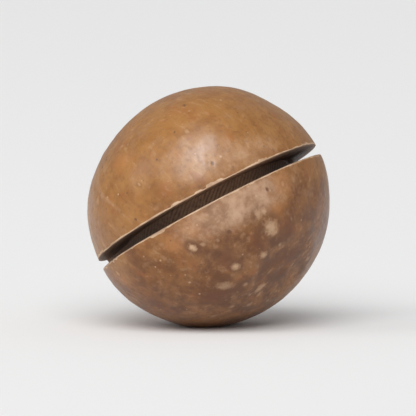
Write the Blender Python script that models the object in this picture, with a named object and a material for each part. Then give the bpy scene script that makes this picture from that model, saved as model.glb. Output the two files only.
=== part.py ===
"""Macadamia nut in its shell, sawn two thirds of the way round so that it can be opened.

Blender 4.5, metres, +Z up. The front faces -Y. The origin is on the table, straight
below the nut's middle. The nut grew as one piece, so it is one solid.
"""

import math
import random

import bmesh
import bpy
from mathutils import Matrix, Vector

# The shell's form
GIRTH_DIAMETER = 0.0240
POLE_SHORTENING = 0.075
CENTRE_HEIGHT = 0.01140
SHELL_DETAIL = 5

# The way the pointed end faces: up by POINT_RISE, and to the left of the back by POINT_TURN
POINT_RISE = math.radians(31.0)
POINT_TURN = math.radians(50.0)

# The pointed end: a broad swelling with a small nub on it
SHOULDER_RISE = 0.00035
SHOULDER_SPREAD = math.radians(26.0)
NUB_RISE = 0.00030
NUB_SPREAD = math.radians(5.5)

# The blunt end, where the stalk was: a shallow flat with a low rim round it
SCAR_DROP = 0.00030
SCAR_SPREAD = math.radians(21.0)
RIM_RISE = 0.00010
RIM_WIDTH = math.radians(5.0)

# The lumps that growth left: long waves across the shell
LUMP_SEED = 11
LUMP_COUNT = 12
LUMP_RISE = 0.00006
LUMP_WAVES = (2.6, 5.4)

# The saw slit. Its plane rises to the right by SLIT_RISE and leans back by SLIT_LEAN.
SLIT_RISE = math.radians(28.3)
SLIT_LEAN = math.radians(9.3)
SLIT_DEPTH = 0.0034
SLIT_WIDTH_MIDDLE = 0.00136
SLIT_WIDTH_ENDS = 0.00100
SLIT_LEFT = math.radians(75.0)
SLIT_RIGHT = math.radians(95.0)
BLADE_RADIUS = 0.0200
SLIT_STEPS = 80

# How far the cutters stand out past the shell
CUTTER_MARGIN = 0.0015

SHELL_COLOUR = (0.37, 0.19, 0.085, 1.0)
SHELL_ROUGHNESS = 0.42
SAWN_COLOUR = (0.035, 0.018, 0.009, 1.0)
SAWN_ROUGHNESS = 0.85


def clear_scene():
    """Empties the scene."""
    for item in list(bpy.data.objects):
        bpy.data.objects.remove(item, do_unlink=True)


def new_collection(name):
    """A collection of its own under the scene."""
    collection = bpy.data.collections.new(name)
    bpy.context.scene.collection.children.link(collection)
    return collection


def new_material(name, colour, roughness):
    """A plain finish: colour and roughness, no metal."""
    material = bpy.data.materials.new(name)
    material.use_nodes = True
    shader = material.node_tree.nodes["Principled BSDF"]
    shader.inputs["Base Color"].default_value = colour
    shader.inputs["Roughness"].default_value = roughness
    shader.inputs["Metallic"].default_value = 0.0
    return material


def point_direction():
    """Unit vector from the nut's middle to its pointed end."""
    return Vector((
        -math.cos(POINT_RISE) * math.sin(POINT_TURN),
        math.cos(POINT_RISE) * math.cos(POINT_TURN),
        math.sin(POINT_RISE),
    ))


def lump_waves():
    """The growth lumps as waves: a wave vector and a phase for each."""
    draw = random.Random(LUMP_SEED)
    waves = []
    for _ in range(LUMP_COUNT):
        heading = Vector((draw.gauss(0, 1), draw.gauss(0, 1), draw.gauss(0, 1))).normalized()
        waves.append((heading * draw.uniform(*LUMP_WAVES), draw.uniform(0, math.tau)))
    return waves


def shell_radius(direction, point, waves):
    """Distance from the nut's middle to its skin along a unit direction."""
    along = max(-1.0, min(1.0, direction.dot(point)))
    from_point = math.acos(along)
    from_scar = math.pi - from_point
    radius = GIRTH_DIAMETER / 2 * (1 - POLE_SHORTENING * along**2)
    radius += SHOULDER_RISE * math.exp(-((from_point / SHOULDER_SPREAD) ** 2))
    radius += NUB_RISE * math.exp(-((from_point / NUB_SPREAD) ** 2))
    radius -= SCAR_DROP * math.exp(-((from_scar / SCAR_SPREAD) ** 4))
    radius += RIM_RISE * math.exp(-(((from_scar - SCAR_SPREAD) / RIM_WIDTH) ** 2))
    for wave, phase in waves:
        radius += LUMP_RISE * math.cos(wave.dot(direction) + phase)
    return radius


def slit_frame():
    """Axes of the slit: the way it faces in front, the way it runs to the right, and its normal."""
    normal = Vector((
        -math.sin(SLIT_RISE) * math.cos(SLIT_LEAN),
        math.sin(SLIT_LEAN),
        math.cos(SLIT_RISE) * math.cos(SLIT_LEAN),
    ))
    front = Vector((0, -1, 0))
    front = (front - normal * front.dot(normal)).normalized()
    return front, normal.cross(front), normal


def end_sweep():
    """Angle over which the slit's floor rises to the skin, on the arc of the saw blade."""
    radius = GIRTH_DIAMETER / 2
    reach = radius - SLIT_DEPTH + BLADE_RADIUS
    return math.acos((radius**2 + reach**2 - BLADE_RADIUS**2) / (2 * radius * reach))


def slit_depth(angle):
    """Depth of the slit at an angle to the right of its front."""
    past_full = max(angle - SLIT_RIGHT, -SLIT_LEFT - angle, 0.0)
    radius = GIRTH_DIAMETER / 2
    reach = radius - SLIT_DEPTH + BLADE_RADIUS
    across = reach * math.sin(past_full)
    return radius - (reach * math.cos(past_full) - math.sqrt(BLADE_RADIUS**2 - across**2))


def slit_half_width(share):
    """Half the slit's width, where share is 0 at its middle and 1 at its ends."""
    opened = math.cos(math.pi / 2 * share) ** 2
    return (SLIT_WIDTH_ENDS + (SLIT_WIDTH_MIDDLE - SLIT_WIDTH_ENDS) * opened) / 2


def add_mesh_object(name, shape, collection):
    """Turns a bmesh into an object of a collection, with its faces pointing out."""
    if shape.calc_volume(signed=True) < 0:
        bmesh.ops.reverse_faces(shape, faces=shape.faces)
    mesh = bpy.data.meshes.new(name)
    shape.to_mesh(mesh)
    shape.free()
    item = bpy.data.objects.new(name, mesh)
    collection.objects.link(item)
    return item


def make_nut(collection):
    """The shell's skin: an ico sphere drawn out to the nut's form, round the nut's middle."""
    shape = bmesh.new()
    bmesh.ops.create_icosphere(shape, subdivisions=SHELL_DETAIL, radius=1.0)
    point = point_direction()
    waves = lump_waves()
    for vertex in shape.verts:
        direction = vertex.co.normalized()
        vertex.co = direction * shell_radius(direction, point, waves)
    nut = add_mesh_object("macadamia_nut", shape, collection)
    nut.location = (0, 0, CENTRE_HEIGHT)
    nut.data.materials.append(new_material("nutshell", SHELL_COLOUR, SHELL_ROUGHNESS))
    nut.data.shade_smooth()
    return nut


def as_cutter(item):
    """Marks an object as a tool that is not part of the nut."""
    item.hide_render = True
    item.display_type = "WIRE"
    return item


def make_slit_cutter(collection):
    """The space that the saw cleared: a bar in many steps, bent round the nut."""
    shape = bmesh.new()
    bmesh.ops.create_cube(shape, size=2.0)
    lengthwise = [
        edge for edge in shape.edges
        if abs(edge.verts[0].co.x - edge.verts[1].co.x) > 1.0
    ]
    bmesh.ops.subdivide_edges(shape, edges=lengthwise, cuts=SLIT_STEPS - 1)
    front, right, normal = slit_frame()
    point = point_direction()
    waves = lump_waves()
    first = -SLIT_LEFT - end_sweep()
    last = SLIT_RIGHT + end_sweep()
    for vertex in shape.verts:
        angle = (first + last) / 2 + (last - first) / 2 * vertex.co.x
        direction = front * math.cos(angle) + right * math.sin(angle)
        skin = shell_radius(direction, point, waves)
        inner = skin - slit_depth(angle)
        outer = skin + CUTTER_MARGIN
        out = inner if vertex.co.y < 0 else outer
        aside = slit_half_width(abs(vertex.co.x)) * vertex.co.z
        vertex.co = direction * out + normal * aside
    cutter = as_cutter(add_mesh_object("saw_path", shape, collection))
    cutter.location = (0, 0, CENTRE_HEIGHT)
    cutter.data.materials.append(new_material("sawn_shell", SAWN_COLOUR, SAWN_ROUGHNESS))
    return cutter


def make_rest_cutter(collection):
    """A block whose top is the table, which leaves the small flat spot that the nut rests on."""
    side = GIRTH_DIAMETER
    shape = bmesh.new()
    bmesh.ops.create_cube(shape, size=side, matrix=Matrix.Translation((0, 0, -side / 2)))
    return as_cutter(add_mesh_object("table_block", shape, collection))


def cut(target, cutter):
    """Takes a cutter's space out of a solid. The faces it leaves have the cutter's finish."""
    boolean = target.modifiers.new("cut_" + cutter.name, "BOOLEAN")
    boolean.operation = "DIFFERENCE"
    boolean.solver = "EXACT"
    boolean.material_mode = "TRANSFER"
    boolean.object = cutter


clear_scene()
parts = new_collection("macadamia_nut_in_shell")
cutters = new_collection("cutters")
nut_in_shell = make_nut(parts)
cut(nut_in_shell, make_slit_cutter(cutters))
cut(nut_in_shell, make_rest_cutter(cutters))
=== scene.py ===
"""Macadamia nut in its shell, sawn part of the way round: the fine surface, its finish and the stage."""

import math
import random

import bpy
import numpy as np
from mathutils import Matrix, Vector


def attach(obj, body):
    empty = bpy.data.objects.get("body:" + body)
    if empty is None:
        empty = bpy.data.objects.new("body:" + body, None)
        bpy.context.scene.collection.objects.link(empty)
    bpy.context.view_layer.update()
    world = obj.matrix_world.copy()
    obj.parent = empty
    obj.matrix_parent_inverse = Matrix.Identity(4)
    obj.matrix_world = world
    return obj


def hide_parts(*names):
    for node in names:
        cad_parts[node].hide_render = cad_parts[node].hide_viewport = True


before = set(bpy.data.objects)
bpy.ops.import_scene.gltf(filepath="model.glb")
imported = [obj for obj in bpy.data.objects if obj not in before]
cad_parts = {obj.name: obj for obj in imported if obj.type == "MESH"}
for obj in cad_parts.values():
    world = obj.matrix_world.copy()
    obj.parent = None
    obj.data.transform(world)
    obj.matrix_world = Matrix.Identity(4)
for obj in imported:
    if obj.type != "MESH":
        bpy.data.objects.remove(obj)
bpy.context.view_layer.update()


# The shell's form
# A macadamia's shell is one hard woody wall, a little shorter from its point to its stalk end than across.
# It swells to a small nub at the point, is flattened at the stalk end, and is gently lumpy all over.
# These are the sizes that the solid was built from, so the skin follows it all round.
GIRTH_DIAMETER = 0.0240
POLE_SHORTENING = 0.075
CENTRE_HEIGHT = 0.01140
POINT_RISE = math.radians(31.0)
POINT_TURN = math.radians(50.0)
SHOULDER_RISE, SHOULDER_SPREAD = 0.00035, math.radians(26.0)
NUB_RISE, NUB_SPREAD = 0.00030, math.radians(5.5)
SCAR_DROP, SCAR_SPREAD = 0.00030, math.radians(21.0)
RIM_RISE, RIM_WIDTH = 0.00010, math.radians(5.0)
LUMP_SEED, LUMP_COUNT, LUMP_RISE, LUMP_WAVES = 11, 12, 0.00006, (2.6, 5.4)

point = np.array((
    -math.cos(POINT_RISE) * math.sin(POINT_TURN),
    math.cos(POINT_RISE) * math.cos(POINT_TURN),
    math.sin(POINT_RISE),
))


def growth_waves(seed, count, lengths):
    """Waves that cross the shell in every direction: wave vectors and phases."""
    draw = random.Random(seed)
    vectors, phases = [], []
    for _ in range(count):
        heading = Vector((draw.gauss(0, 1), draw.gauss(0, 1), draw.gauss(0, 1))).normalized()
        vectors.append(heading * draw.uniform(*lengths))
        phases.append(draw.uniform(0, math.tau))
    return np.array(vectors), np.array(phases)


def swell(directions, waves):
    """The sum of the waves along each direction."""
    vectors, phases = waves
    return np.cos(directions @ vectors.T + phases).sum(axis=1)


def angle_between(directions, pole):
    """The angle from each unit direction to a pole."""
    return np.arccos(np.clip(directions @ pole, -1.0, 1.0))


def form_radius(directions):
    """Distance from the nut's middle to the plain form of the shell."""
    from_point = angle_between(directions, point)
    from_scar = math.pi - from_point
    radius = GIRTH_DIAMETER / 2 * (1 - POLE_SHORTENING * (directions @ point) ** 2)
    radius += SHOULDER_RISE * np.exp(-((from_point / SHOULDER_SPREAD) ** 2))
    radius += NUB_RISE * np.exp(-((from_point / NUB_SPREAD) ** 2))
    radius -= SCAR_DROP * np.exp(-((from_scar / SCAR_SPREAD) ** 4))
    radius += RIM_RISE * np.exp(-(((from_scar - SCAR_SPREAD) / RIM_WIDTH) ** 2))
    radius += LUMP_RISE * swell(directions, growth_waves(LUMP_SEED, LUMP_COUNT, LUMP_WAVES))
    return radius


# The skin
# The shell's skin is smooth and waxy. Its lower right front and underside are duskier and mottled, partly
# its own tone and partly painted shade. There are small pale pimples ringed in darker brown, dark and orange
# stains, small pits, and two cream scuffs where the outer skin has come away.
SKIN_INSET = 0.00008
SKIN_SEED = 5
# The direction of the duskier side, lower right front and underside: partly the shell's own tone, partly
# painted shade
WEATHERED_AND_SHADED_SIDE = (0.45, -0.35, -0.82)
BROAD_RIPPLE, BROAD_WAVES = 0.0000080, (7.0, 15.0)
FINE_RIPPLE, FINE_WAVES = 0.0000016, (28.0, 75.0)
RIPPLE_COUNT = 36

# How far from a spot its surroundings are worked out, in half lengths
SPOT_REACH = 4.0

# Flecks and pits lie from a first angle off the stalk end over a span, in degrees, crowded to that end
FLECK_COUNT = 85
FLECK_FIRST, FLECK_SPAN, FLECK_CROWDING = 16, 118, 1.5
FLECK_LENGTH = (0.00022, 0.00065)
FLECK_SHRINK = (0.5, 1.0)
FLECK_SLIMNESS = (0.50, 0.95)
FLECK_PLAINNESS = (0.10, 0.55)
FLECK_RISE = 0.000030
PIT_COUNT = 70
PIT_FIRST, PIT_SPAN, PIT_CROWDING = 12, 150, 1.2
PIT_RADIUS = (0.00010, 0.00026)
PIT_STRETCH = 1.3
PIT_DEPTH = 0.000045
SCUFF_DROP, SCUFF_EDGE_STEEPNESS = 0.000030, 5

# Flecks on the front, as the camera sees them: right and up from the middle, half their length and width,
# and how plain they are
VIEW_RISE = math.radians(5.0)
FRONT_FLECKS = (
    (-0.0015, -0.0039, 0.00064, 0.00042, 1.0),
    (-0.0005, -0.0036, 0.00034, 0.00028, 0.6),
    (0.0064, -0.0020, 0.00125, 0.00095, 0.75),
    (0.0050, -0.0007, 0.00070, 0.00045, 0.5),
    (0.0057, -0.0048, 0.00058, 0.00048, 0.7),
    (0.0028, -0.0059, 0.00058, 0.00050, 0.8),
    (0.0056, -0.0085, 0.00095, 0.00060, 0.6),
    (0.0017, -0.0078, 0.00110, 0.00060, 0.5),
    (-0.0088, -0.0064, 0.00040, 0.00032, 0.5),
)

# Stains on the front, dark red-brown and orange: right and up from the middle, and half length and width
DARK_STAINS = (
    (0.0019, -0.0051, 0.0013, 0.0010),
    (0.0052, -0.0038, 0.0008, 0.0005),
    (-0.0049, -0.0094, 0.0011, 0.0008),
    (0.0008, -0.0088, 0.0017, 0.0010),
    (0.0083, -0.0022, 0.0013, 0.0008),
    (0.0090, -0.0050, 0.0012, 0.0008),
)
ORANGE_STAINS = (
    (0.0072, 0.0025, 0.0017, 0.0010),
    (0.0068, 0.0001, 0.0013, 0.0008),
    (-0.0018, -0.0021, 0.0012, 0.0007),
    (-0.0033, -0.0037, 0.0012, 0.0009),
    (-0.0080, 0.0043, 0.0012, 0.0009),
    (-0.0083, -0.0069, 0.0012, 0.0008),
)

# Cream scuffs: degrees from the stalk end, degrees round the nut, and half their length and width
SCUFFS = (
    (72.0, 22.0, 0.0013, 0.0008),
    (60.0, 318.0, 0.0010, 0.0007),
)


def along_nut(direction):
    """The way that the grain runs at a direction: along the skin, towards the point."""
    run = point - direction * (point @ direction)
    return run / max(np.linalg.norm(run), 1e-9)


def direction_from_stalk(from_stalk, around):
    """The unit direction at an angle from the stalk end and an angle round the nut."""
    aside = np.cross(point, (0.0, 0.0, 1.0))
    aside /= np.linalg.norm(aside)
    upward = np.cross(aside, point)
    spread = math.cos(around) * aside + math.sin(around) * upward
    return -point * math.cos(from_stalk) + spread * math.sin(from_stalk)


def direction_in_view(right, up):
    """The unit direction of a place that the camera sees right and up from the nut's middle."""
    near = math.sqrt((GIRTH_DIAMETER / 2) ** 2 - right**2 - up**2)
    front = near * math.cos(VIEW_RISE) - up * math.sin(VIEW_RISE)
    above = near * math.sin(VIEW_RISE) + up * math.cos(VIEW_RISE)
    return np.array((right, -front, above)) / (GIRTH_DIAMETER / 2)


def spots(directions, places):
    """How deep each direction lies in the nearest spot, and how plain that spot is.

    The depth is 1 at the spot's middle, 0 at its edge and less beyond.
    """
    radius = GIRTH_DIAMETER / 2
    nearest = np.full(len(directions), SPOT_REACH)
    plain = np.zeros(len(directions))
    for middle, half_length, half_width, plainness in places:
        close = np.nonzero(directions @ middle > math.cos(SPOT_REACH * half_length / radius))[0]
        grain = along_nut(middle)
        along = directions[close] @ grain * radius / half_length
        across = directions[close] @ np.cross(middle, grain) * radius / half_width
        away = np.hypot(along, across)
        nearer = close[away < nearest[close]]
        plain[nearer] = plainness
        nearest[close] = np.minimum(nearest[close], away)
    return 1 - nearest, plain


def front_places(rows):
    """Spots on the front, from what the camera sees of them. Those with no plainness given have 1."""
    places = []
    for right, up, half_length, half_width, *plainness in rows:
        places.append((direction_in_view(right, up), half_length, half_width, *(plainness or [1.0])))
    return places


def fleck_places():
    """Where the pale flecks lie: thick near the stalk end, and few past the girth."""
    draw = random.Random(SKIN_SEED)
    places = []
    for _ in range(FLECK_COUNT):
        from_stalk = math.radians(FLECK_FIRST + FLECK_SPAN * draw.random() ** FLECK_CROWDING)
        half_length = draw.uniform(*FLECK_LENGTH) * draw.uniform(*FLECK_SHRINK)
        half_width = half_length * draw.uniform(*FLECK_SLIMNESS)
        middle = direction_from_stalk(from_stalk, draw.uniform(0, math.tau))
        places.append((middle, half_length, half_width, draw.uniform(*FLECK_PLAINNESS)))
    return places + front_places(FRONT_FLECKS)


def pit_places():
    """Where the small pits lie: all over, and thicker near the stalk end."""
    draw = random.Random(SKIN_SEED + 1)
    places = []
    for _ in range(PIT_COUNT):
        from_stalk = math.radians(PIT_FIRST + PIT_SPAN * draw.random() ** PIT_CROWDING)
        radius = draw.uniform(*PIT_RADIUS)
        middle = direction_from_stalk(from_stalk, draw.uniform(0, math.tau))
        places.append((middle, radius * PIT_STRETCH, radius, 1.0))
    return places


def scuff_places():
    """Where the outer skin has come away."""
    return [
        (direction_from_stalk(math.radians(away), math.radians(around)), half_length, half_width, 1.0)
        for away, around, half_length, half_width in SCUFFS
    ]


# The stalk end and the point
# The stalk left a shallow dull scar with faint ribs running out from its middle. At the other end the germ
# pore is a pale dot on the nub, with a low collar round it.
SCAR_RIBS, SCAR_RIB_RISE, SCAR_RIB_START = 31, 0.000006, math.radians(12)
SCAR_RIB_BEND, SCAR_RIB_BENDS = 2.6, 5
STALK_PIT_DEPTH, STALK_PIT_SPREAD = 0.00013, math.radians(3.2)
PORE_DEPTH, PORE_SPREAD, PORE_HALO = 0.00014, math.radians(1.5), 1.3
SEAM_RISE, SEAM_WIDTH, SEAM_AROUND = 0.000030, 0.00030, math.radians(180.0)
SEAM_WAVER, SEAM_WAVES = 0.00035, (9, 4)
SEAM_START, SEAM_END, SEAM_FADE = 3.0, math.radians(120), math.radians(40)


def around_nut(directions):
    """The angle of each direction round the nut's own axis."""
    level = direction_from_stalk(math.pi / 2, 0.0)
    upright = direction_from_stalk(math.pi / 2, math.pi / 2)
    return np.arctan2(directions @ upright, directions @ level)


def seam_nearness(directions):
    """1 on the faint seam that runs from the point towards the stalk end, and 0 away from it."""
    side = direction_from_stalk(math.pi / 2, SEAM_AROUND)
    from_point = angle_between(directions, point)
    off = directions @ np.cross(point, side) * GIRTH_DIAMETER / 2
    off += SEAM_WAVER * np.sin(from_point * SEAM_WAVES[0]) * np.sin(from_point * SEAM_WAVES[1])
    length = np.clip((directions @ side) * SEAM_START, 0.0, 1.0)
    fade = np.clip((SEAM_END - from_point) / SEAM_FADE, 0.0, 1.0)
    return np.exp(-((off / SEAM_WIDTH) ** 2)) * length * fade


def mound(inside):
    """A round-topped rise over a spot, from 0 at its edge to 1 at its middle."""
    share = np.clip(inside, 0, 1)
    return share * (2 - share)


def relief(directions, fields):
    """How far the skin stands out from the plain form: ripples, flecks, pits, scuffs and both ends."""
    from_point = angle_between(directions, point)
    from_scar = math.pi - from_point
    height = BROAD_RIPPLE * swell(directions, growth_waves(SKIN_SEED + 2, RIPPLE_COUNT, BROAD_WAVES))
    height += FINE_RIPPLE * swell(directions, growth_waves(SKIN_SEED + 3, RIPPLE_COUNT, FINE_WAVES))
    height += FLECK_RISE * mound(fields["fleck"]) * fields["plain"]
    height -= PIT_DEPTH * mound(fields["pit"])
    height -= SCUFF_DROP * np.clip(fields["scuff"] * SCUFF_EDGE_STEEPNESS, 0, 1)
    around = around_nut(directions)
    ribs = np.cos(around * SCAR_RIBS + SCAR_RIB_BEND * np.cos(around * SCAR_RIB_BENDS))
    height += SCAR_RIB_RISE * ribs * fields["scar"] * np.clip(from_scar / SCAR_RIB_START, 0, 1)
    height -= STALK_PIT_DEPTH * np.exp(-((from_scar / STALK_PIT_SPREAD) ** 2))
    height -= PORE_DEPTH * np.exp(-((from_point / PORE_SPREAD) ** 2))
    height += SEAM_RISE * seam_nearness(directions)
    return height - SKIN_INSET


def skin_fields(directions):
    """What the finish needs to know at each place on the skin."""
    from_point = angle_between(directions, point)
    from_scar = math.pi - from_point
    fleck, plain = spots(directions, fleck_places())
    return {
        "fleck": fleck,
        "plain": plain,
        "pit": spots(directions, pit_places())[0],
        "scuff": spots(directions, scuff_places())[0],
        "dark_stain": spots(directions, front_places(DARK_STAINS))[0],
        "orange_stain": spots(directions, front_places(ORANGE_STAINS))[0],
        # Duskier towards the lower right front and underside: partly the shell's own tone, partly painted
        # shade
        "weathered_and_shaded": directions @ np.array(WEATHERED_AND_SHADED_SIDE),
        "scar": np.exp(-((from_scar / SCAR_SPREAD) ** 6)),
        "pore": np.exp(-((from_point / (PORE_SPREAD * PORE_HALO)) ** 4)),
        "seam": seam_nearness(directions),
    }


# The saw slit
# A thin circular saw has cut the shell two thirds of the way round, so that it can be twisted open. The cut
# has straight walls, a floor that rises to the skin on the blade's arc at both ends, and pale lips where the
# brown skin has worn and chipped. The sizes of the cut are the solid's too.
SLIT_RISE = math.radians(28.3)
SLIT_LEAN = math.radians(9.3)
SLIT_DEPTH = 0.0034
SLIT_WIDTH_MIDDLE, SLIT_WIDTH_ENDS = 0.00136, 0.00100
SLIT_LEFT, SLIT_RIGHT = math.radians(75.0), math.radians(95.0)
BLADE_RADIUS = 0.0200
# Painted shade on the sawn walls towards the slit's ends: where it is least, where it starts and where it is
# full
END_SHADE_MIDDLE, END_SHADE_START, END_SHADE_FULL = math.radians(14.0), math.radians(16.0), math.radians(52.0)
LIP_RADIUS = (0.00005, 0.00012)
LIP_WEAR, LIP_WAVES, LIP_WEAR_CONTRAST = (0.00002, 0.00010), (9.0, 40.0), 3
CHIP_SEED, CHIP_COUNT = 21, 26
CHIP_LENGTH, CHIP_WIDTH = (0.0004, 0.0015), (0.00005, 0.00022)
CHIP_RAGGEDNESS, CHIP_WAVES = 0.3, (60, 140)

# The saw's tooth marks: their depth and spacing, how they lean across the slit and down its walls, how far
# they drift from an even spacing, and how clear they are from place to place
SAW_MARK_DEPTH, SAW_MARK_SPACING = 0.000020, 0.00064
SAW_MARK_SLANT, SAW_MARK_LEAN = 1.5, 0.45
SAW_MARK_DRIFT, DRIFT_WAVES, SECOND_DRIFT = 0.00016, (13, 29), 0.45
SAW_MARK_CLEARNESS, CLEARNESS_CHANGE, CLEARNESS_WAVES = 0.65, 0.35, (9, 4)

# The pale smears by the slit, one below it and a fainter one above it, partly saw dust and partly a painted
# reflection: the middle and half size along the slit, how far above it, half size away from it, and strength
DUST_AND_SHEEN_SMEARS = (
    (math.radians(17.0), math.radians(30.0), -0.0021, 0.0018, 1.0),
    (math.radians(31.0), math.radians(20.0), 0.0019, 0.0016, 0.52),
)

slit_normal = np.array((
    -math.sin(SLIT_RISE) * math.cos(SLIT_LEAN),
    math.sin(SLIT_LEAN),
    math.cos(SLIT_RISE) * math.cos(SLIT_LEAN),
))
slit_front = np.array((0.0, -1.0, 0.0))
slit_front -= slit_normal * (slit_front @ slit_normal)
slit_front /= np.linalg.norm(slit_front)
slit_right = np.cross(slit_normal, slit_front)
blade_reach = GIRTH_DIAMETER / 2 - SLIT_DEPTH + BLADE_RADIUS
slit_end_sweep = math.acos(
    ((GIRTH_DIAMETER / 2) ** 2 + blade_reach**2 - BLADE_RADIUS**2) / (GIRTH_DIAMETER * blade_reach)
)


def slit_depth(angles):
    """Depth of the slit at angles to the right of its front, and 0 where the shell is whole."""
    past_full = np.maximum(np.maximum(angles - SLIT_RIGHT, -SLIT_LEFT - angles), 0.0)
    past_full = np.minimum(past_full, slit_end_sweep)
    across = blade_reach * np.sin(past_full)
    floor = blade_reach * np.cos(past_full) - np.sqrt(BLADE_RADIUS**2 - across**2)
    return np.maximum(GIRTH_DIAMETER / 2 - floor, 0.0)


def slit_half_width(angles):
    """Half the slit's width. It has sprung open a little at its middle."""
    first, last = -SLIT_LEFT - slit_end_sweep, SLIT_RIGHT + slit_end_sweep
    share = np.clip(np.abs(2 * angles - first - last) / (last - first), 0, 1)
    opened = np.cos(math.pi / 2 * share) ** 2
    return (SLIT_WIDTH_ENDS + (SLIT_WIDTH_MIDDLE - SLIT_WIDTH_ENDS) * opened) / 2


def chipped(angles, outward, side):
    """How far the skin has worn and chipped back from one lip of the slit at each angle."""
    draw = random.Random(CHIP_SEED + side)
    worn = growth_waves(CHIP_SEED + side, RIPPLE_COUNT, LIP_WAVES)
    share = np.clip(0.5 + swell(outward, worn) / RIPPLE_COUNT * LIP_WEAR_CONTRAST, 0, 1)
    lost = LIP_WEAR[0] + (LIP_WEAR[1] - LIP_WEAR[0]) * share
    for _ in range(CHIP_COUNT):
        middle = draw.uniform(-math.pi, math.pi)
        half_length = draw.uniform(*CHIP_LENGTH) / GIRTH_DIAMETER
        width = draw.uniform(*CHIP_WIDTH)
        ragged = CHIP_RAGGEDNESS * np.sin(angles * draw.uniform(*CHIP_WAVES))
        off = (angles - middle) / half_length + ragged
        lost = np.maximum(lost, LIP_WEAR[0] + width * np.sqrt(np.clip(1 - off**2, 0, 1)))
    return lost


def end_shaded(angles):
    """How much painted shade darkens the sawn walls: 0 about the slit's middle, 1 towards its ends."""
    off = np.abs(angles - END_SHADE_MIDDLE)
    return np.clip((off - END_SHADE_START) / (END_SHADE_FULL - END_SHADE_START), 0, 1)


def dusted_and_sheened(directions):
    """How strong the pale smears of saw dust and painted reflection are, from 1 in the middle of the main
    smear to 0 away from both.
    """
    around = np.arctan2(directions @ slit_right, directions @ slit_front)
    above = (directions @ slit_normal) * GIRTH_DIAMETER / 2
    dust_and_sheen = np.zeros(len(directions))
    for middle, reach, height, spread, strength in DUST_AND_SHEEN_SMEARS:
        along = (around - middle) / reach
        away = (above - height) / spread
        dust_and_sheen = np.maximum(dust_and_sheen, strength * np.exp(-(along**2) - away**2))
    return dust_and_sheen


# The nut's mesh
# Two round caps of skin, one on each side of the saw's plane, are joined by a band of rows. Where the shell
# is sawn, the band goes over the lip, down the wall, across the floor and up again. Elsewhere it is skin.
CAP_CELLS = 168
RING = 4 * CAP_CELLS
BAND_ANGLE = math.radians(7.5)
SKIN_ROWS, LIP_ROWS, WALL_ROWS, FLOOR_ROWS = 8, 5, 9, 6
SKIN_ROW_CROWDING = 0.8
FULL_CUT_DEPTH = 0.0005
SKIN_RELIEF_DEPTH = 0.0001
LIP_MARKS = 0.35
BARE_REACH = 1.4

ring_angles = np.arange(RING) * math.tau / RING
ring_angles = np.where(ring_angles > math.pi, ring_angles - math.tau, ring_angles)
ring_outward = np.outer(np.cos(ring_angles), slit_front) + np.outer(np.sin(ring_angles), slit_right)


def cap_directions(pole):
    """Unit directions over one cap: a square grid drawn out to a disc, its rim at the band's edge."""
    steps = np.linspace(-1.0, 1.0, CAP_CELLS + 1)
    across, up = np.meshgrid(steps, steps, indexing="ij")
    wide = np.abs(across) >= np.abs(up)
    safe_across = np.where(across == 0, 1.0, across)
    safe_up = np.where(up == 0, 1.0, up)
    reach = np.where(wide, across, up)
    turn = np.where(wide, math.pi / 4 * up / safe_across, math.pi / 2 - math.pi / 4 * across / safe_up)
    right = reach * np.sin(turn)
    front = reach * np.cos(turn)
    share = np.hypot(front, right).ravel()
    tilt = share * (math.pi / 2 - BAND_ANGLE)
    spread = np.outer(front.ravel(), slit_front) + np.outer(right.ravel(), slit_right)
    spread /= np.maximum(share, 1e-9)[:, None]
    return np.outer(np.cos(tilt), pole) + spread * np.sin(tilt)[:, None]


def cap_rim():
    """Numbers of a cap's rim points, in the order of ring_angles."""
    last = CAP_CELLS
    half = CAP_CELLS // 2
    numbers = np.arange((last + 1) ** 2).reshape(last + 1, last + 1)
    rim = list(numbers[last, half:last]) + list(numbers[last:0:-1, last])
    rim += list(numbers[0, last:0:-1]) + list(numbers[0:last, 0]) + list(numbers[last, 0:half])
    return rim


def skin_points(directions):
    """Places on the skin, and the fields that its finish reads."""
    fields = skin_fields(directions)
    # The pale smears by the slit are partly saw dust and partly a painted reflection
    fields["dust_and_sheen"] = dusted_and_sheened(directions)
    radius = form_radius(directions) + relief(directions, fields)
    return directions * radius[:, None], fields


def saw_marks(down, aside):
    """The marks of the saw's teeth, from -1 to 1, at a depth and a distance from the slit's middle plane."""
    run = ring_angles * GIRTH_DIAMETER / 2 - SAW_MARK_SLANT * aside + SAW_MARK_LEAN * down
    slow, quick = (np.sin(ring_angles * waves) for waves in DRIFT_WAVES)
    run += SAW_MARK_DRIFT * (slow + SECOND_DRIFT * quick)
    change = np.sin(ring_angles * CLEARNESS_WAVES[0]) * np.sin(ring_angles * CLEARNESS_WAVES[1] + 1)
    return np.cos(run * math.tau / SAW_MARK_SPACING) * (SAW_MARK_CLEARNESS + CLEARNESS_CHANGE * change)


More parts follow.
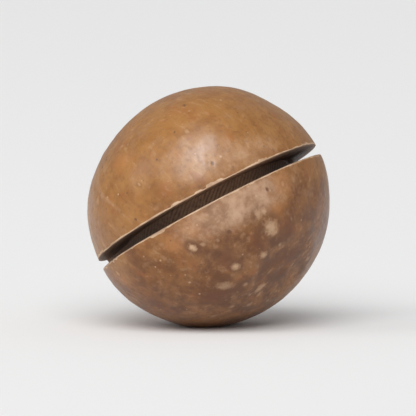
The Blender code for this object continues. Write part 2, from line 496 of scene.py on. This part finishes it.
def band_rows(side):
    """The rows from one cap's rim to the middle of the floor, as (points, fields) for each row.

    side is 1 above the slit's plane and -1 below it. The cap's own rim row is not made again.
    """
    depth = slit_depth(ring_angles)
    half_width = slit_half_width(ring_angles)
    cut = np.clip(depth / FULL_CUT_DEPTH, 0, 1)
    cut = cut * cut * (3 - 2 * cut)
    lost = chipped(ring_angles, ring_outward, side) * cut
    lip = LIP_RADIUS[0] + (LIP_RADIUS[1] - LIP_RADIUS[0]) * np.clip(lost / CHIP_WIDTH[1], 0, 1)
    in_plane = form_radius(ring_outward)
    edge = half_width + lip + lost
    rim_offset = in_plane * math.sin(BAND_ANGLE)
    inner_rows = LIP_ROWS + WALL_ROWS + FLOOR_ROWS
    rows = []
    for row in range(1, SKIN_ROWS + inner_rows + 1):
        down = np.zeros(RING)
        marks = np.zeros(RING)
        if row <= SKIN_ROWS:
            share = (row / SKIN_ROWS) ** SKIN_ROW_CROWDING
            aside = rim_offset + (edge - rim_offset) * share
        else:
            inner = row - SKIN_ROWS
            flat_aside = edge * (1 - inner / inner_rows)
            if inner <= LIP_ROWS:
                turn = inner / LIP_ROWS * math.pi / 2
                sawn_aside = half_width + (lip + lost) * (1 - math.sin(turn))
                down = lip * (1 - math.cos(turn))
            elif inner <= LIP_ROWS + WALL_ROWS:
                share = (inner - LIP_ROWS) / WALL_ROWS
                down = lip + (depth - lip) * share
                marks = saw_marks(down, side * half_width) * (LIP_MARKS + (1 - LIP_MARKS) * share)
                mark_depth = SAW_MARK_DEPTH * math.sin(math.pi * min(share * 2, 0.5))
                sawn_aside = half_width + mark_depth * marks
            else:
                share = (inner - LIP_ROWS - WALL_ROWS) / FLOOR_ROWS
                sawn_aside = half_width * (1 - share)
                down = depth
                marks = saw_marks(down, side * sawn_aside)
            down = down * cut
            aside = flat_aside + (sawn_aside - flat_aside) * cut
        tilt = np.arcsin(side * aside / in_plane)
        directions = ring_outward * np.cos(tilt)[:, None] + np.outer(np.sin(tilt), slit_normal)
        points, fields = skin_points(directions)
        if row > SKIN_ROWS:
            smooth = directions * form_radius(directions)[:, None]
            keep = np.clip(1 - down / SKIN_RELIEF_DEPTH, 0, 1)[:, None]
            points = smooth + (points - smooth) * keep
        points = points - ring_outward * down[:, None]
        fields["down"] = down / SLIT_DEPTH
        fields["mark"] = marks
        # Painted shade on the walls towards the slit's ends
        fields["end_shade"] = end_shaded(ring_angles)
        past_lip = (aside - half_width - lip) / np.maximum(lost, 1e-6)
        fields["bare"] = np.clip(BARE_REACH - past_lip, 0, 2) * cut
        rows.append((points, fields))
    return rows


def build_points():
    """All of the nut's points and fields, and the numbers of each ring from the upper cap to the lower."""
    upper, upper_fields = skin_points(cap_directions(slit_normal))
    lower, lower_fields = skin_points(cap_directions(-slit_normal))
    for cap_fields in (upper_fields, lower_fields):
        for name in ("down", "mark", "end_shade", "bare"):
            cap_fields[name] = np.zeros(len(upper))
    points, fields = [upper, lower], [upper_fields, lower_fields]
    rim = np.array(cap_rim())
    rings = [rim]
    count = len(upper) + len(lower)
    above, below = band_rows(1), band_rows(-1)
    for row_points, row_fields in above + below[-2::-1]:
        points.append(row_points)
        fields.append(row_fields)
        rings.append(count + np.arange(RING))
        count += RING
    rings.append(len(upper) + rim)
    joined = {name: np.concatenate([part[name] for part in fields]) for name in fields[0]}
    return np.concatenate(points), joined, rings


def build_faces(rings):
    """The nut's four-sided faces: two caps, and the band between their rims."""
    faces = []
    side = CAP_CELLS + 1
    corner = (np.arange(CAP_CELLS)[:, None] * side + np.arange(CAP_CELLS)[None, :]).ravel()
    cell = np.stack([corner, corner + 1, corner + side + 1, corner + side], axis=1)
    faces.append(cell[:, ::-1])
    faces.append(cell + side * side)
    for first, second in zip(rings[:-1], rings[1:]):
        faces.append(np.stack([first, second, np.roll(second, -1), np.roll(first, -1)], axis=1))
    return np.concatenate(faces)


def build_nut():
    """The nut as one closed mesh round its middle, flattened where it rests."""
    points, fields, rings = build_points()
    points[:, 2] = np.maximum(points[:, 2], -CENTRE_HEIGHT)
    mesh = bpy.data.meshes.new("nut_shell")
    mesh.from_pydata(points.tolist(), [], build_faces(rings).tolist())
    mesh.update()
    for name, values in fields.items():
        mesh.attributes.new(name, "FLOAT", "POINT").data.foreach_set("value", values.astype(np.float32))
    mesh.shade_smooth()
    nut = bpy.data.objects.new("nut_shell", mesh)
    nut.location = (0, 0, CENTRE_HEIGHT)
    bpy.context.scene.collection.objects.link(nut)
    return nut


nut = build_nut()


# The nut's finish
# The waxy ochre skin turns to umber and then to a mottled dusky brown round to the lower right front and the
# underside, partly its own tone and partly painted shade, with orange and dusty clouds. Flecks are pale with
# a darker ring. Worn lips show raw tan shell. The sawn walls are a duller tan, darker further down and
# towards the slit's ends as painted shade, and crossed by dark saw marks.
MILLIMETRES = 1000.0
OCHRE_LIGHT, OCHRE_DEEP = (0.350, 0.156, 0.038), (0.280, 0.113, 0.024)
# The umber and dusk colours of the lower right front and underside, partly the shell's own tone and partly
# painted shade
UMBER_LIGHT, UMBER_DEEP = (0.235, 0.090, 0.019), (0.145, 0.047, 0.009)
DUSK_LIGHT, DUSK_DEEP = (0.265, 0.113, 0.036), (0.118, 0.043, 0.014)
ORANGE_CLOUD, DUSTY_CLOUD = (0.320, 0.100, 0.020), (0.345, 0.178, 0.082)
DARK_STAIN, ORANGE_STAIN = (0.130, 0.040, 0.013), (0.430, 0.172, 0.045)
FLECK_COLOUR = (0.580, 0.380, 0.230)
PIT_COLOUR = (0.120, 0.047, 0.020)
SCUFF_COLOUR = (0.560, 0.400, 0.265)
PORE_COLOUR = (0.560, 0.400, 0.260)
# The colour of the pale smears by the slit, partly saw dust and partly a painted reflection
SAW_DUST_AND_SHEEN = (0.550, 0.350, 0.226)
RAW_SHELL = (0.640, 0.450, 0.295)
# The sawn walls from their top down to their deepest part, darker further down as painted shade
SAWN_TOP, SAWN_WALL, SAWN_DEEP_SHADE = (0.50, 0.33, 0.215), (0.47, 0.29, 0.18), (0.41, 0.25, 0.155)
# The dark saw marks, and the painted shade on the walls towards the slit's ends
SCORED, END_SHADE_COLOUR = (0.095, 0.045, 0.024), (0.100, 0.050, 0.028)

# The shell's noises: size in millimetres, detail, coarseness of the detail, and swirl
CLOUDS, PATCHES, BLUSH = (4.2, 3.0, 0.50, 0.2), (1.5, 4.0, 0.60, 0.2), (2.0, 4.0, 0.62, 0.2)
STREAKS, STREAK_STRETCH = (0.55, 3.0, 0.55, 0.3), 0.22
FINE_GRAIN, RAGGED_GRAIN, BUMP_GRAIN = (0.40, 3.0, 0.60), (0.34, 3.0, 0.60), (0.11, 2.0, 0.5)
SPECK_SPACING = 0.75

# The steps of the skin's colours. Each runs smoothly from one value of its noise or field to another, and
# where two more numbers stand, it runs between those two shares and not from 0 to 1.
# The turn to umber and dusk towards the lower right front and underside is partly painted shade
WEATHER_AND_SHADE_CLOUDS, MOTTLE_SHARES = (1.6, -0.8), (0.40, 0.60)
OCHRE_MOTTLE, UMBER_MOTTLE, DUSK_MOTTLE = (0.38, 0.60), (0.39, 0.61), (0.38, 0.62)
TURNS_UMBER, TURNS_DUSKY = (0.0, 0.42), (0.40, 0.90)
ORANGE_BLUSH, DUSTY_BLUSH = (0.53, 0.68, 0.0, 0.36), (0.46, 0.32, 0.0, 0.40)
PALE_STREAKS, STREAKED_PATCHES, STREAK_SHARE = (0.52, 0.70), (0.40, 0.60), 0.22
DARK_STREAKS = (0.45, 0.30, 0.0, 0.16)
DARK_GRAIN, TOWARDS_STALK = (0.50, 0.72), (9.0, -6.0, 0.12, 0.40)
STAIN_PATCHES = (3.0, -1.5)
ORANGE_STAINED, DARK_STAINED = (-0.8, 1.2, 0.0, 0.70), (-0.5, 0.8, 0.0, 0.75)
SPECK_SIZE, SPECK_EDGE = (0.0, 1.0, 0.02, 0.20), (0.0, -0.10)
PALE_SPECKS, DARK_SPECKS = (0.60, 0.90, 0.0, 0.65), (0.38, 0.20, 0.0, 0.70)

# The steps of the marks on the skin, and how ragged the edge of each mark is
FRAY = {
    "dust_and_sheen": 0.5,
    "fleck": 1.1,
    "seam": 1.2,
    "pit": 0.8,
    "scuff": 1.5,
    "pore": 1.2,
    "bare": 0.9,
    "mark": 2.2,
}
# The steps of the pale smears by the slit, partly saw dust and partly a painted reflection
DUST_AND_SHEEN_COVER, DUST_AND_SHEEN_PATCHINESS, DUST_AND_SHEEN_PATCHES = (0.0, 0.90), 1.6, (1.05, 1.60, 0.34, 0.88)
RING_OUTSIDE, RING_INSIDE, RING_SHARE = (-1.0, -0.1), (0.30, -0.10), 0.55
FLECK_COVER, SEAM_COVER = (-0.10, 0.85, 0.0, 0.95), (0.30, 1.3, 0.0, 0.22)
PIT_COVER, PORE_COVER = (-0.10, 0.60, 0.0, 0.80), (0.20, 0.90, 0.0, 0.8)
SCUFF_COVER, SCUFF_STREAKINESS = (0.0, 0.70, 0.0, 0.75), 3.0

# The steps of the slit's colours. Depths are shares of the slit's full depth.
BARE_COVER, BARE_PATCHES = (0.30, 0.75), (0.40, 0.58, 0.45, 0.90)
# The walls darken further down the slit as painted shade
SAWN_BELOW, WALL_BELOW, DEEP_SHADE_BELOW = (0.002, 0.02), (0.01, 0.08), (0.15, 0.70)
SCORED_COVER, SCORED_BELOW = (-0.8, 1.0, 0.0, 0.75), (0.02, 0.20)
# How strong the painted shade is on the walls towards the slit's ends
END_SHADE_SHARE = 0.68

# The wax: how strongly it shines, how thick and how rough its outer coat is, and how rough it is below
WAX_SHINE, WAX_COAT, WAX_COAT_ROUGHNESS = 0.42, 0.14, 0.24
WAX_ROUGHNESS = (0.8, 1.25, 0.35, 0.47)
DULLING, SAWN_DULLNESS, SCAR_DULLNESS = 0.32, 1.4, 0.35
BUMP_HEIGHT, BUMP_STRENGTH = 0.000020, 0.5
GRAIN_BUMP, PATCH_BUMP, SPECK_BUMP = 0.40, 0.8, 1.2


class Finish:
    """A material in the making, with a short name for each kind of step."""

    def __init__(self, name):
        self.material = bpy.data.materials.new(name)
        self.material.use_nodes = True
        self.tree = self.material.node_tree
        self.shader = self.tree.nodes["Principled BSDF"]

    def step(self, kind, inputs, **settings):
        """Adds a node. Each input is a number, a colour or another node's output."""
        made = self.tree.nodes.new("ShaderNode" + kind)
        for setting, value in settings.items():
            setattr(made, setting, value)
        for key, value in inputs.items():
            if isinstance(value, bpy.types.NodeSocket):
                self.tree.links.new(value, made.inputs[key])
            else:
                made.inputs[key].default_value = value
        return made

    def blend(self, share, first, second):
        """One colour where share is 0 and another where it is 1."""
        colours = [c if isinstance(c, bpy.types.NodeSocket) else (*c, 1.0) for c in (first, second)]
        made = self.step("Mix", {0: share, 6: colours[0], 7: colours[1]}, data_type="RGBA")
        return made.outputs[2]

    def sum(self, operation, *values):
        """Arithmetic on single numbers."""
        made = self.step("Math", dict(enumerate(values)), operation=operation)
        return made.outputs[0]

    def ease(self, value, low, high, out_low=0.0, out_high=1.0):
        """A smooth step from out_low at low to out_high at high."""
        inputs = {0: value, 1: low, 2: high, 3: out_low, 4: out_high}
        return self.step("MapRange", inputs, interpolation_type="SMOOTHSTEP").outputs[0]

    def grain(self, place, size, detail=3.0, coarse=0.55, swirl=0.0):
        """Cloudy noise from 0 to 1 with features about size millimetres across."""
        inputs = {"Vector": place, "Scale": 1 / size, "Detail": detail}
        inputs |= {"Roughness": coarse, "Distortion": swirl}
        return self.step("TexNoise", inputs).outputs["Fac"]

    def field(self, name):
        """A number that the mesh carries at each point."""
        return self.step("Attribute", {}, attribute_name=name).outputs["Fac"]


def clouds_and_grain(finish):
    """The noises that the colours share, in millimetres along the nut's own axis, by name."""
    turn = Vector(point).rotation_difference(Vector((0, 0, 1))).to_euler()
    raw_place = finish.step("TexCoord", {}).outputs["Object"]
    scale = (MILLIMETRES, MILLIMETRES, MILLIMETRES)
    place = finish.step("Mapping", {"Vector": raw_place, "Rotation": turn, "Scale": scale}).outputs[0]
    stretch = {0: place, 1: (1.0, 1.0, STREAK_STRETCH)}
    drawn_out = finish.step("VectorMath", stretch, operation="MULTIPLY").outputs[0]
    return {
        "place": place,
        "along": finish.step("SeparateXYZ", {0: place}).outputs["Z"],
        "clouds": finish.grain(place, *CLOUDS),
        "patches": finish.grain(place, *PATCHES),
        "blush": finish.grain(place, *BLUSH),
        "streaks": finish.grain(drawn_out, *STREAKS),
        "fine": finish.grain(place, *FINE_GRAIN),
        "ragged": finish.sum("SUBTRACT", finish.grain(place, *RAGGED_GRAIN), 0.5),
    }


def frayed(finish, noise, name):
    """One of the mesh's fields with its edges made ragged."""
    return finish.sum("MULTIPLY_ADD", noise["ragged"], FRAY[name], finish.field(name))


def skin_colour(finish, noise):
    """The skin's colour, from ochre to dusk towards the lower right front and underside, partly its own tone
    and partly painted shade, with clouds, streaks and stains.
    """
    clouds, patches, blush = noise["clouds"], noise["patches"], noise["blush"]
    streaks, ragged = noise["streaks"], noise["ragged"]
    weathering_and_shade = finish.sum("MULTIPLY_ADD", clouds, *WEATHER_AND_SHADE_CLOUDS)
    # Darker towards the lower right front and underside: partly the shell's own tone, partly painted shade
    weathered_and_shaded = finish.sum("ADD", finish.field("weathered_and_shaded"), weathering_and_shade)
    coarse_mottle = finish.sum("MULTIPLY", clouds, MOTTLE_SHARES[0])
    mottle = finish.sum("ADD", coarse_mottle, finish.sum("MULTIPLY", patches, MOTTLE_SHARES[1]))
    ochre = finish.blend(finish.ease(mottle, *OCHRE_MOTTLE), OCHRE_DEEP, OCHRE_LIGHT)
    umber = finish.blend(finish.ease(mottle, *UMBER_MOTTLE), UMBER_DEEP, UMBER_LIGHT)
    dusk = finish.blend(finish.ease(mottle, *DUSK_MOTTLE), DUSK_DEEP, DUSK_LIGHT)
    colour = finish.blend(finish.ease(weathered_and_shaded, *TURNS_UMBER), ochre, umber)
    colour = finish.blend(finish.ease(weathered_and_shaded, *TURNS_DUSKY), colour, dusk)
    colour = finish.blend(finish.ease(blush, *ORANGE_BLUSH), colour, ORANGE_CLOUD)
    colour = finish.blend(finish.ease(blush, *DUSTY_BLUSH), colour, DUSTY_CLOUD)

    pale_streaks = finish.ease(streaks, *PALE_STREAKS)
    streaked = finish.sum("MULTIPLY", pale_streaks, finish.ease(patches, *STREAKED_PATCHES))
    colour = finish.blend(finish.sum("MULTIPLY", streaked, STREAK_SHARE), colour, FLECK_COLOUR)
    colour = finish.blend(finish.ease(streaks, *DARK_STREAKS), colour, DUSK_DEEP)
    towards_stalk = finish.ease(noise["along"], *TOWARDS_STALK)
    grainy = finish.sum("MULTIPLY", finish.ease(noise["fine"], *DARK_GRAIN), towards_stalk)
    colour = finish.blend(grainy, colour, DUSK_DEEP)

    cloudy = finish.sum("MULTIPLY_ADD", patches, *STAIN_PATCHES)
    dark_edge = finish.sum("ADD", finish.sum("ADD", finish.field("dark_stain"), ragged), cloudy)
    orange_edge = finish.sum("SUBTRACT", finish.sum("ADD", finish.field("orange_stain"), ragged), cloudy)
    colour = finish.blend(finish.ease(orange_edge, *ORANGE_STAINED), colour, ORANGE_STAIN)
    return finish.blend(finish.ease(dark_edge, *DARK_STAINED), colour, DARK_STAIN)


def add_specks(finish, noise, colour):
    """Strews pale and dark specks over a colour. Gives it back with where the dark ones are."""
    cells = finish.step("TexVoronoi", {"Vector": noise["place"], "Scale": 1 / SPECK_SPACING})
    kind = finish.step("SeparateColor", {0: cells.outputs["Color"]})
    size = finish.ease(kind.outputs["Green"], *SPECK_SIZE)
    speck = finish.ease(finish.sum("SUBTRACT", cells.outputs["Distance"], size), *SPECK_EDGE)
    pale = finish.sum("MULTIPLY", speck, finish.ease(kind.outputs["Red"], *PALE_SPECKS))
    dark = finish.sum("MULTIPLY", speck, finish.ease(kind.outputs["Red"], *DARK_SPECKS))
    colour = finish.blend(pale, colour, FLECK_COLOUR)
    return finish.blend(dark, colour, PIT_COLOUR), dark


def add_spots(finish, noise, colour):
    """Lays the pale smears of saw dust and painted reflection, flecks, the seam, pits, scuffs and the pore
    on a colour. Gives it and what is dull.
    """
    # The pale smears by the slit: partly saw dust, partly a painted reflection
    dust_and_sheen_patches = finish.sum("MULTIPLY_ADD", noise["patches"], DUST_AND_SHEEN_PATCHINESS, noise["blush"])
    dust_and_sheen = finish.ease(frayed(finish, noise, "dust_and_sheen"), *DUST_AND_SHEEN_COVER)
    dust_and_sheen = finish.sum("MULTIPLY", dust_and_sheen, finish.ease(dust_and_sheen_patches, *DUST_AND_SHEEN_PATCHES))
    colour = finish.blend(dust_and_sheen, colour, SAW_DUST_AND_SHEEN)

    plain = finish.field("plain")
    fleck_edge = frayed(finish, noise, "fleck")
    ring_outside = finish.ease(fleck_edge, *RING_OUTSIDE)
    ring = finish.sum("MULTIPLY", ring_outside, finish.ease(fleck_edge, *RING_INSIDE))
    ring = finish.sum("MULTIPLY", finish.sum("MULTIPLY", ring, plain), RING_SHARE)
    fleck = finish.sum("MULTIPLY", finish.ease(fleck_edge, *FLECK_COVER), plain)
    colour = finish.blend(ring, colour, PIT_COLOUR)
    colour = finish.blend(fleck, colour, FLECK_COLOUR)

    seam = finish.ease(frayed(finish, noise, "seam"), *SEAM_COVER)
    colour = finish.blend(seam, colour, FLECK_COLOUR)
    pit = finish.ease(frayed(finish, noise, "pit"), *PIT_COVER)
    colour = finish.blend(pit, colour, PIT_COLOUR)
    streaky = finish.sum("SUBTRACT", noise["streaks"], 0.5)
    torn = finish.sum("MULTIPLY_ADD", streaky, SCUFF_STREAKINESS, frayed(finish, noise, "scuff"))
    scuff = finish.ease(torn, *SCUFF_COVER)
    colour = finish.blend(scuff, colour, SCUFF_COLOUR)
    pore = finish.ease(frayed(finish, noise, "pore"), *PORE_COVER)
    colour = finish.blend(pore, colour, PORE_COLOUR)
    return colour, finish.sum("MAXIMUM", finish.sum("MAXIMUM", fleck, scuff), pore)


def add_slit(finish, noise, colour):
    """Colours the worn lips and the sawn walls. Gives back the colour and what is dull there."""
    bare = finish.ease(frayed(finish, noise, "bare"), *BARE_COVER)
    bare = finish.sum("MULTIPLY", bare, finish.ease(noise["patches"], *BARE_PATCHES))
    colour = finish.blend(bare, colour, RAW_SHELL)
    down = finish.field("down")
    # Darker further down the slit: painted shade
    wall = finish.blend(finish.ease(down, *WALL_BELOW), SAWN_TOP, SAWN_WALL)
    wall = finish.blend(finish.ease(down, *DEEP_SHADE_BELOW), wall, SAWN_DEEP_SHADE)
    # Painted shade towards the slit's ends
    wall = finish.blend(finish.sum("MULTIPLY", finish.field("end_shade"), END_SHADE_SHARE), wall, END_SHADE_COLOUR)
    scored = finish.ease(frayed(finish, noise, "mark"), *SCORED_COVER)
    scored = finish.sum("MULTIPLY", scored, finish.ease(down, *SCORED_BELOW))
    wall = finish.blend(scored, wall, SCORED)
    sawn = finish.ease(down, *SAWN_BELOW)
    dull = finish.sum("MAXIMUM", bare, finish.sum("MULTIPLY", sawn, SAWN_DULLNESS))
    return finish.blend(sawn, colour, wall), dull


def nutshell_finish():
    """The shell's finish, from its skin to the sawn slit, with its wax and its fine bumps."""
    finish = Finish("nutshell")
    shader = finish.shader.inputs
    noise = clouds_and_grain(finish)
    colour = skin_colour(finish, noise)
    colour, dark_speck = add_specks(finish, noise, colour)
    colour, dull_spots = add_spots(finish, noise, colour)
    colour, dull_slit = add_slit(finish, noise, colour)
    finish.tree.links.new(colour, shader["Base Color"])

    waxed = finish.ease(finish.sum("ADD", noise["patches"], noise["fine"]), *WAX_ROUGHNESS)
    dull_scar = finish.sum("MULTIPLY", finish.field("scar"), SCAR_DULLNESS)
    dull = finish.sum("MAXIMUM", finish.sum("MAXIMUM", dull_spots, dull_slit), dull_scar)
    roughness = finish.sum("ADD", waxed, finish.sum("MULTIPLY", dull, DULLING))
    finish.tree.links.new(roughness, shader["Roughness"])

    grain = finish.grain(noise["place"], *BUMP_GRAIN)
    height = finish.sum("ADD", noise["fine"], finish.sum("MULTIPLY", grain, GRAIN_BUMP))
    height = finish.sum("ADD", height, finish.sum("MULTIPLY", noise["patches"], PATCH_BUMP))
    height = finish.sum("SUBTRACT", height, finish.sum("MULTIPLY", dark_speck, SPECK_BUMP))
    bump = finish.step("Bump", {"Strength": BUMP_STRENGTH, "Distance": BUMP_HEIGHT, "Height": height})
    finish.tree.links.new(bump.outputs[0], shader["Normal"])
    shader["Specular IOR Level"].default_value = WAX_SHINE
    shader["Coat Weight"].default_value = WAX_COAT
    shader["Coat Roughness"].default_value = WAX_COAT_ROUGHNESS
    return finish.material


nut.data.materials.append(nutshell_finish())
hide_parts("macadamia_nut")
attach(nut, "root")


# The stage
# A pale matt floor that runs far back, a wide soft key light high in front, a tall lamp that shows only as a
# streak in the gloss, a weaker lamp on the left, and even light all round.
FLOOR_REACH = 20.0
FLOOR_PALE, FLOOR_ROUGHNESS = (0.86, 0.86, 0.86, 1.0), 0.9
KEY_PLACE, TALL_LAMP_PLACE, LEFT_LAMP_PLACE = (-0.07, -0.50, 0.53), (-0.06, -0.46, 0.54), (-0.6, -0.2, 0.35)
floor_mesh = bpy.data.meshes.new("floor")
corners = [(x * FLOOR_REACH, y * FLOOR_REACH, 0) for x, y in ((-1, -1), (1, -1), (1, 1), (-1, 1))]
floor_mesh.from_pydata(corners, [], [(0, 1, 2, 3)])
floor = bpy.data.objects.new("floor", floor_mesh)
bpy.context.scene.collection.objects.link(floor)
floor_paint = bpy.data.materials.new("floor_paint")
floor_paint.use_nodes = True
floor_shader = floor_paint.node_tree.nodes["Principled BSDF"]
floor_shader.inputs["Base Color"].default_value = FLOOR_PALE
floor_shader.inputs["Roughness"].default_value = FLOOR_ROUGHNESS
floor_mesh.materials.append(floor_paint)


def add_light(light, place):
    """Stands a light at a place, facing the nut."""
    item = bpy.data.objects.new(light.name, light)
    item.location = place
    towards_nut = Vector((0, 0, CENTRE_HEIGHT)) - Vector(place)
    item.rotation_euler = towards_nut.to_track_quat("-Z", "Y").to_euler()
    bpy.context.scene.collection.objects.link(item)
    return item


key_light = bpy.data.lights.new("key_light", "SUN")
key_light.energy = 2.3
key_light.angle = math.radians(50.0)
add_light(key_light, KEY_PLACE)

tall_lamp = bpy.data.lights.new("tall_lamp", "AREA")
tall_lamp.shape = "RECTANGLE"
tall_lamp.size, tall_lamp.size_y = 0.085, 0.55
tall_lamp.energy = 3.4
add_light(tall_lamp, TALL_LAMP_PLACE).visible_diffuse = False

left_lamp = bpy.data.lights.new("left_lamp", "AREA")
left_lamp.size = 0.35
left_lamp.energy = 1.0
add_light(left_lamp, LEFT_LAMP_PLACE)

world = bpy.data.worlds.new("even_light")
world.use_nodes = True
background = world.node_tree.nodes["Background"].inputs
background["Color"].default_value = (1.0, 1.0, 1.0, 1.0)
background["Strength"].default_value = 0.38
bpy.context.scene.world = world
bpy.context.scene.view_settings.view_transform = "Standard"

# The camera looks along +Y and a little down, with a long lens
CAMERA_DISTANCE = 0.66
VIEW_WIDTH = 0.040
camera_data = bpy.data.cameras.new("camera")
camera_data.lens = camera_data.sensor_width * CAMERA_DISTANCE / VIEW_WIDTH
camera_data.clip_start = 0.01
camera_data.clip_end = 50.0
camera = bpy.data.objects.new("camera", camera_data)
camera.location = (
    0,
    -CAMERA_DISTANCE * math.cos(VIEW_RISE),
    CENTRE_HEIGHT + CAMERA_DISTANCE * math.sin(VIEW_RISE),
)
camera.rotation_euler = (math.pi / 2 - VIEW_RISE, 0, 0)
bpy.context.scene.collection.objects.link(camera)
bpy.context.scene.camera = camera
